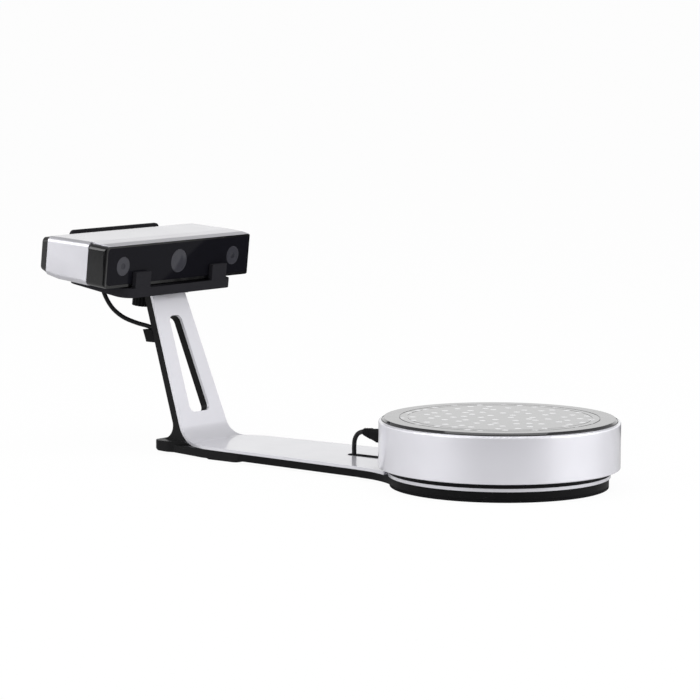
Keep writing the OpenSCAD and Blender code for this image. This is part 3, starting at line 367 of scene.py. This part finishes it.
def flat_faced(node):
    """A CAD node's mesh with its triangles merged back into whole faces, and reshaped where listed."""
    bm = bmesh.new()
    bm.from_mesh(frame["nodes"][node].data)
    bmesh.ops.remove_doubles(bm, verts=bm.verts, dist=0.002 * MM)
    bmesh.ops.dissolve_limit(bm, angle_limit=math.radians(0.4), verts=bm.verts, edges=bm.edges,
                             delimit={"NORMAL"})
    if node in RESHAPED:
        RESHAPED[node](bm)
    mesh = bpy.data.meshes.new(node + "_soft")
    mesh.from_pydata([v.co[:] for v in bm.verts], [], [[v.index for v in f.verts] for f in bm.faces])
    bm.free()
    return mesh


def smooth(mesh, limit):
    """Shades mesh smooth, with its edges of limit degrees or more left sharp."""
    bm = bmesh.new()
    bm.from_mesh(mesh)
    for face in bm.faces:
        face.smooth = True
    for edge in bm.edges:
        edge.smooth = len(edge.link_faces) == 2 and edge.calc_face_angle() < math.radians(limit)
    bm.to_mesh(mesh)
    bm.free()


def true_round(mesh):
    """Turns the shading of upright walls that go round the platter's axis exactly outward."""
    upright, squarely = 0.02, math.cos(math.radians(4.0))
    normals = [corner.vector.copy() for corner in mesh.corner_normals]
    for face in mesh.polygons:
        side = face.normal.dot(Vector((face.center.x, face.center.y, 0.0)).normalized())
        if abs(face.normal.z) < upright and abs(side) > squarely:
            for corner in face.loop_indices:
                place = mesh.vertices[mesh.loops[corner].vertex_index].co
                outward = Vector((place.x, place.y, 0.0)).normalized()
                normals[corner] = outward * math.copysign(1.0, side)
    mesh.normals_split_custom_set(normals)


def apply_modifiers(piece):
    evaluated = piece.evaluated_get(bpy.context.evaluated_depsgraph_get())
    piece.data = bpy.data.meshes.new_from_object(evaluated)
    piece.modifiers.clear()


def soften(node, width):
    """Shows a copy of a CAD node with its hard edges rounded to width in its place."""
    piece = shown(node + "_soft", flat_faced(node), node)
    bevel = piece.modifiers.new("edges", "BEVEL")
    bevel.width = width
    bevel.segments = 2
    bevel.limit_method = "ANGLE"
    bevel.angle_limit = math.radians(28)
    bevel.miter_outer = "MITER_ARC"
    apply_modifiers(piece)
    smooth(piece.data, 40)
    piece.modifiers.new("shading", "WEIGHTED_NORMAL").keep_sharp = True
    apply_modifiers(piece)
    if node in ROUND:
        true_round(piece.data)


for node, width in EDGES.items():
    soften(node, width * MM)


# ---------------------------------------------------------------- windows

def around(count, start=0.0):
    """Angles evenly round a circle, start steps on from the first axis."""
    return [2 * math.pi * (k + start) / count for k in range(count)]


def rings(name, loops):
    """A closed mesh through loops of points, with its two ends capped."""
    count, last = len(loops[0]), len(loops) - 1
    faces = [[i * count + k, i * count + (k + 1) % count,
              (i + 1) * count + (k + 1) % count, (i + 1) * count + k]
             for i in range(last) for k in range(count)]
    faces += [list(range(count))[::-1], [last * count + k for k in range(count)]]
    mesh = bpy.data.meshes.new(name)
    mesh.from_pydata([tuple(point) for loop in loops for point in loop], [], faces)
    return mesh


def turned(name, side, profile, sides=64):
    """A piece turned about an axis through the face, side metres from its middle.

    The profile is (radius, depth) in mm, from the back to the front.
    """
    loops = []
    for radius, depth in profile:
        centre = HEAD_AT + HEAD_LEFT * side - HEAD_AHEAD * depth * MM
        loops.append([centre + (HEAD_LEFT * math.cos(a) + HEAD_UP * math.sin(a)) * radius * MM
                      for a in around(sides)])
    return rings(name, loops)


def window(name, side, radius):
    """A window's disc: chamfered, with a fine bezel step round its slightly sunk glass."""
    back, glass, bezel = 2.3, 0.55, 0.3
    return turned(name, side, [(radius, back), (radius, glass), (radius - 0.25, bezel),
                               (radius - 0.75, bezel), (radius - 1.0, glass), (radius * 0.5, glass),
                               (0.3, glass)])


def dome(name, side, radius):
    """A low dome on a window's glass, which is 0.55 mm deep."""
    profile = [(1.0, 0.62), (0.98, 0.5), (0.8, 0.42), (0.5, 0.37), (0.1, 0.35)]
    return turned(name, side, [(radius * share, depth) for share, depth in profile])


def joined(name, *meshes):
    """One smooth-shaded mesh of closed meshes."""
    bm = bmesh.new()
    for mesh in meshes:
        bm.from_mesh(mesh)
    bmesh.ops.recalc_face_normals(bm, faces=bm.faces)
    whole = bpy.data.meshes.new(name)
    bm.to_mesh(whole)
    bm.free()
    smooth(whole, 30)
    return whole


CAMERA_OUT = 79.1 * MM                              # each camera's axis from the head's middle
CAMERA_WINDOW, PROJECTOR_WINDOW = 9.07, 11.27       # radii in mm
PUPIL_RADIUS, LENS_RADIUS = 3.0, 6.6
shown("camera_windows_cut", joined("camera_windows_cut", window("near", -CAMERA_OUT, CAMERA_WINDOW),
                                   window("far", CAMERA_OUT, CAMERA_WINDOW)), "camera_windows")
shown("projector_window_cut", joined("projector_window_cut", window("middle", 0.0, PROJECTOR_WINDOW)),
      "projector_window")
added("camera_pupils", joined("camera_pupils", dome("near", -CAMERA_OUT, PUPIL_RADIUS),
                              dome("far", CAMERA_OUT, PUPIL_RADIUS)), "camera_windows", PUPIL)
added("projector_lens", joined("projector_lens", dome("middle", 0.0, LENS_RADIUS)), "projector_window")


# ---------------------------------------------------------------- lead

# its route in mm: from the head behind the arm, down through the core, under the strip, up to the plug
LEAD = [(-427, -46, 162.9), (-427.7, -46, 156.5), (-427, -45, 147), (-421, -41, 134), (-412.5, -35, 125),
        (-402, -28, 119.6), (-391, -22.5, 116.4), (-384.5, -21, 113.5), (-379.5, -21, 108.5),
        (-375.5, -21, 102), (-371.5, -21, 93), (-361, -21, 65), (-352, -21, 40), (-346.2, -21, 24),
        (-344, -21, 19), (-339.5, -21, 13.6), (-333, -21, 9.6), (-327.5, -21, 7.7), (-320, -21, 7.2),
        (-300, -21, 7.2), (-270, -21, 7.2), (-240, -21, 7.2), (-210, -21, 7.2), (-192, -20, 7.2),
        (-178, -13, 7.2), (-170, -6, 7.2), (-164.8, -2.1, 7.2), (-163.4, -1, 7.7), (-162.4, -0.3, 8.9),
        (-162, 0, 10.7), (-162, 0, 14), (-162, 0, 21), (-161.2, 0, 27), (-158, 0, 32), (-153, 0, 34.4),
        (-149, 0, 34.6)]
LEAD_RADIUS = 2.1


def through(points, steps=6):
    """A smooth curve through points in mm, in metres."""
    line = [Vector(point) * MM for point in points]
    curve = []
    for i in range(len(line) - 1):
        a, b, c, d = line[max(i - 1, 0)], line[i], line[i + 1], line[min(i + 2, len(line) - 1)]
        for t in (k / steps for k in range(steps)):
            curve.append(0.5 * (2 * b + (c - a) * t + (2 * a - 5 * b + 4 * c - d) * t ** 2
                                + (3 * b - a - 3 * c + d) * t ** 3))
    return curve + [line[-1]]


def tube(name, curve, radius, sides=20):
    """A round tube along curve, whose rings are carried along it without twisting."""
    loops, across = [], Vector((0.0, 1.0, 0.01))
    for i, point in enumerate(curve):
        way = (curve[min(i + 1, len(curve) - 1)] - curve[max(i - 1, 0)]).normalized()
        across = (across - way * across.dot(way)).normalized()
        other = way.cross(across)
        loops.append([point + (across * math.cos(a) + other * math.sin(a)) * radius
                      for a in around(sides)])
    return rings(name, loops)


def sleeve_loop(x, grow, sides=48):
    """The plug's sleeve at x, grown outward, in mm: from a circle to a rounded oblong."""
    start, z_start, r_start = -150.0, 34.6, 3.0
    end, z_end, half_y, half_z, r_end = -135.0, 32.7, 2.5, 3.8, 2.0
    t = max(0.0, (x - start) / (end - start))
    loop = []
    for a in around(sides, 0.5):
        cos, sin = math.cos(a), math.sin(a)
        y = (1 - t) * r_start * cos + t * (math.copysign(half_y, cos) + r_end * cos)
        z = (1 - t) * (z_start + r_start * sin) + t * (z_end + math.copysign(half_z, sin) + r_end * sin)
        loop.append(Vector((x, y + grow * cos, z + grow * sin)) * MM)
    return loop


def sleeve_rib(x):
    """One moulded rib round the sleeve, sunk a little into it."""
    width, height = 1.5, 0.6
    profile = [(0.0, -0.4), (0.05, 0.0), (0.25, 0.75), (0.5, 1.0), (0.75, 0.75), (0.95, 0.0),
               (1.0, -0.4)]
    return rings("rib", [sleeve_loop(x + along * width, up * height) for along, up in profile])


shown("lead_jacket", joined("lead_jacket", tube("lead", through(LEAD), LEAD_RADIUS * MM)), "lead")
added("plug_ribs", joined("plug_ribs", *[sleeve_rib(x) for x in (-150.4, -148.1, -145.8, -143.5)]),
      "lead_plug")


# ---------------------------------------------------------------- camera

CAMERA_AT = Vector((1.6865, -2.3941, 0.4575))
CAMERA_LOOKS = Vector((-0.60798, 0.78564, -0.11455))
CAMERA_ROLL = math.radians(0.25)
LENS = 172.0
PIXEL = 1.0 / 700           # of the picture's width

camera = bpy.data.objects.new("camera", bpy.data.cameras.new("camera"))
bpy.context.scene.collection.objects.link(camera)
camera.data.lens = LENS
camera.data.sensor_width = 36.0
camera.data.shift_x = -PIXEL
camera.data.clip_end = 200.0
facing = CAMERA_LOOKS.to_track_quat("-Z", "Y").to_matrix().to_4x4()
camera.matrix_world = Matrix.Translation(CAMERA_AT) @ facing @ Matrix.Rotation(CAMERA_ROLL, 4, "Z")
bpy.context.scene.camera = camera


# ---------------------------------------------------------------- studio

# level directions: towards the photographer, and across the edge of a dark card on the floor
TO_PHOTOGRAPHER = (0.576, -0.818, 0.0)
ONTO_CARD = (-0.866, 0.5, 0.0)
ALONG_Y, ALONG_Z = (0.0, 1.0, 0.0), (0.0, 0.0, 1.0)

AMBIENT = 0.6               # the world's level on the object
DIM = 0.35                  # what mirrors see high up
DIM_SHARE = 0.8             # how much of that dimming the photographer's side gets
FLOOR_GLOW = 0.96           # how much of the floor is plain white to the camera: the rest takes shadow
FLOOR_IN_MIRRORS = 0.48
DARK_IN_MIRRORS = 0.05      # the floor's dark side and the card
FLOOR_RADIUS = 60.0


def studio_world():
    """White to the camera and a plain level on the object.

    Mirrors see it dimmed high up and on the photographer's side.
    """
    world = bpy.data.worlds.new("studio")
    world.use_nodes = True
    nodes = Nodes(world.node_tree)
    lit = world.node_tree.nodes["Background"]
    nodes.feed(lit.inputs["Color"], WHITE)
    nodes.feed(lit.inputs["Strength"], AMBIENT)
    way = nodes.node("ShaderNodeTexCoord").outputs["Generated"]
    ray = nodes.node("ShaderNodeLightPath").outputs
    high = nodes.beyond(way, ALONG_Z, start=0.25, over=0.07)
    behind = nodes.beyond(way, TO_PHOTOGRAPHER, start=0.5005, over=0.4)
    dimmed = nodes.maths("MAXIMUM", high, nodes.maths("MULTIPLY", behind, DIM_SHARE))
    in_mirrors = nodes.maths("SUBTRACT", 1.0, ray["Is Camera Ray"])
    loss = nodes.maths("MULTIPLY", nodes.maths("MULTIPLY", in_mirrors, 1.0 - DIM), dimmed)
    seen = nodes.node("ShaderNodeBackground", Color=WHITE, Strength=nodes.maths("SUBTRACT", 1.0, loss))
    sees = nodes.maths("MAXIMUM", ray["Is Camera Ray"], ray["Is Glossy Ray"])
    sees = nodes.maths("MAXIMUM", sees, ray["Is Transmission Ray"])
    surface = nodes.mixed(sees, lit.outputs[0], seen.outputs[0])
    nodes.feed(world.node_tree.nodes["World Output"].inputs["Surface"], surface)
    bpy.context.scene.world = world


def studio_floor():
    """A pale floor that glows to the camera and keeps the object's shadow.

    Mirrors see it less bright, dark on the photographer's side, and with a dark card lying on it.
    """
    mesh = bpy.data.meshes.new("floor")
    bm = bmesh.new()
    bmesh.ops.create_circle(bm, cap_ends=True, segments=96, radius=FLOOR_RADIUS)
    bm.to_mesh(mesh)
    bm.free()
    floor = bpy.data.objects.new("floor", mesh)
    bpy.context.scene.collection.objects.link(floor)
    nodes = Finish("floor", (0.9, 0.9, 0.9), 0.9)
    where = nodes.node("ShaderNodeTexCoord").outputs["Object"]
    ray = nodes.node("ShaderNodeLightPath").outputs
    near_photographer = nodes.beyond(where, TO_PHOTOGRAPHER, start=0.3475, over=0.2)
    card = nodes.maths("MINIMUM", nodes.beyond(where, ONTO_CARD, start=0.1983, over=0.004),
                       nodes.beyond(where, ALONG_Y, start=0.3, over=0.1))
    dark = nodes.maths("MAXIMUM", near_photographer, card)
    level = nodes.maths("MULTIPLY_ADD", dark, DARK_IN_MIRRORS - FLOOR_IN_MIRRORS, FLOOR_IN_MIRRORS)
    level = nodes.maths("MAXIMUM", ray["Is Camera Ray"], level)
    light = nodes.node("ShaderNodeEmission", Strength=level)
    to_camera = nodes.maths("MULTIPLY", ray["Is Camera Ray"], FLOOR_GLOW)
    to_mirrors = nodes.maths("MAXIMUM", ray["Is Glossy Ray"], ray["Is Transmission Ray"])
    surface = nodes.mixed(nodes.maths("MAXIMUM", to_camera, to_mirrors), nodes.principled.outputs[0],
                          light.outputs[0])
    nodes.feed(nodes.tree.nodes["Material Output"].inputs["Surface"], surface)
    mesh.materials.append(nodes.material)


def softbox(name, azimuth, elevation, distance, width, height, watts):
    """A rectangular lamp that faces the object, from an azimuth and elevation in degrees."""
    aim = Vector((-0.12, 0.0, 0.08))
    lamp = bpy.data.lights.new(name, "AREA")
    lamp.shape = "RECTANGLE"
    lamp.size, lamp.size_y, lamp.energy = width, height, watts
    a, e = math.radians(azimuth), math.radians(elevation)
    away = Vector((math.cos(e) * math.cos(a), math.cos(e) * math.sin(a), math.sin(e)))
    box = bpy.data.objects.new(name, lamp)
    bpy.context.scene.collection.objects.link(box)
    facing = (-away).to_track_quat("-Z", "Y").to_matrix().to_4x4()
    box.matrix_world = Matrix.Translation(aim + away * distance) @ facing


studio_world()
studio_floor()
softbox("above", azimuth=-60, elevation=78, distance=2.4, width=2.4, height=2.0, watts=24)
softbox("left", azimuth=-117, elevation=22, distance=2.2, width=2.0, height=1.5, watts=17)
softbox("right", azimuth=21, elevation=16, distance=2.4, width=2.2, height=1.5, watts=23)
bpy.context.scene.view_settings.view_transform = "Standard"
